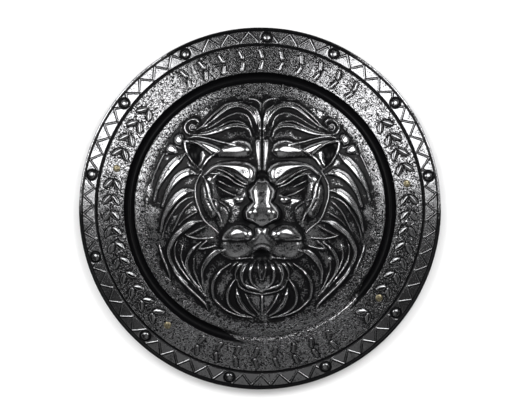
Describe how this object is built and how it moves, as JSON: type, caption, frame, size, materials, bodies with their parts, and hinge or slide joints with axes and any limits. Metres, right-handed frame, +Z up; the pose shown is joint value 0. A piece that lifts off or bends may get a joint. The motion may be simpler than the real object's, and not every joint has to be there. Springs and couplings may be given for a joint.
{
  "type": "round costume shield",
  "caption": "Round dished shield: banded rim, leaf wreath and raised lion mask in one thin sheet, with carrying straps riveted across its hollow back.",
  "frame": {"origin": "centre of the rim's flat underside, on the surface that the shield lies on", "axes": "+Z up out of the shield's face, +Y to the top of the mask, +X to the right seen from the front"},
  "size_m": [0.4503, 0.4497, 0.0747],
  "materials": {
    "antiqued_silver": "worn silver coat over black plastic, dark in the recesses",
    "black_webbing": "woven",
    "dull_brass": "tarnished"
  },
  "bodies": {
    "root": {"shell": "antiqued_silver", "forearm_strap": "black_webbing", "grip_strap": "black_webbing", "rivet_forearm_top": "dull_brass", "rivet_forearm_bottom": "dull_brass", "rivet_grip_top": "dull_brass", "rivet_grip_bottom": "dull_brass"}
  },
  "joints": []
}
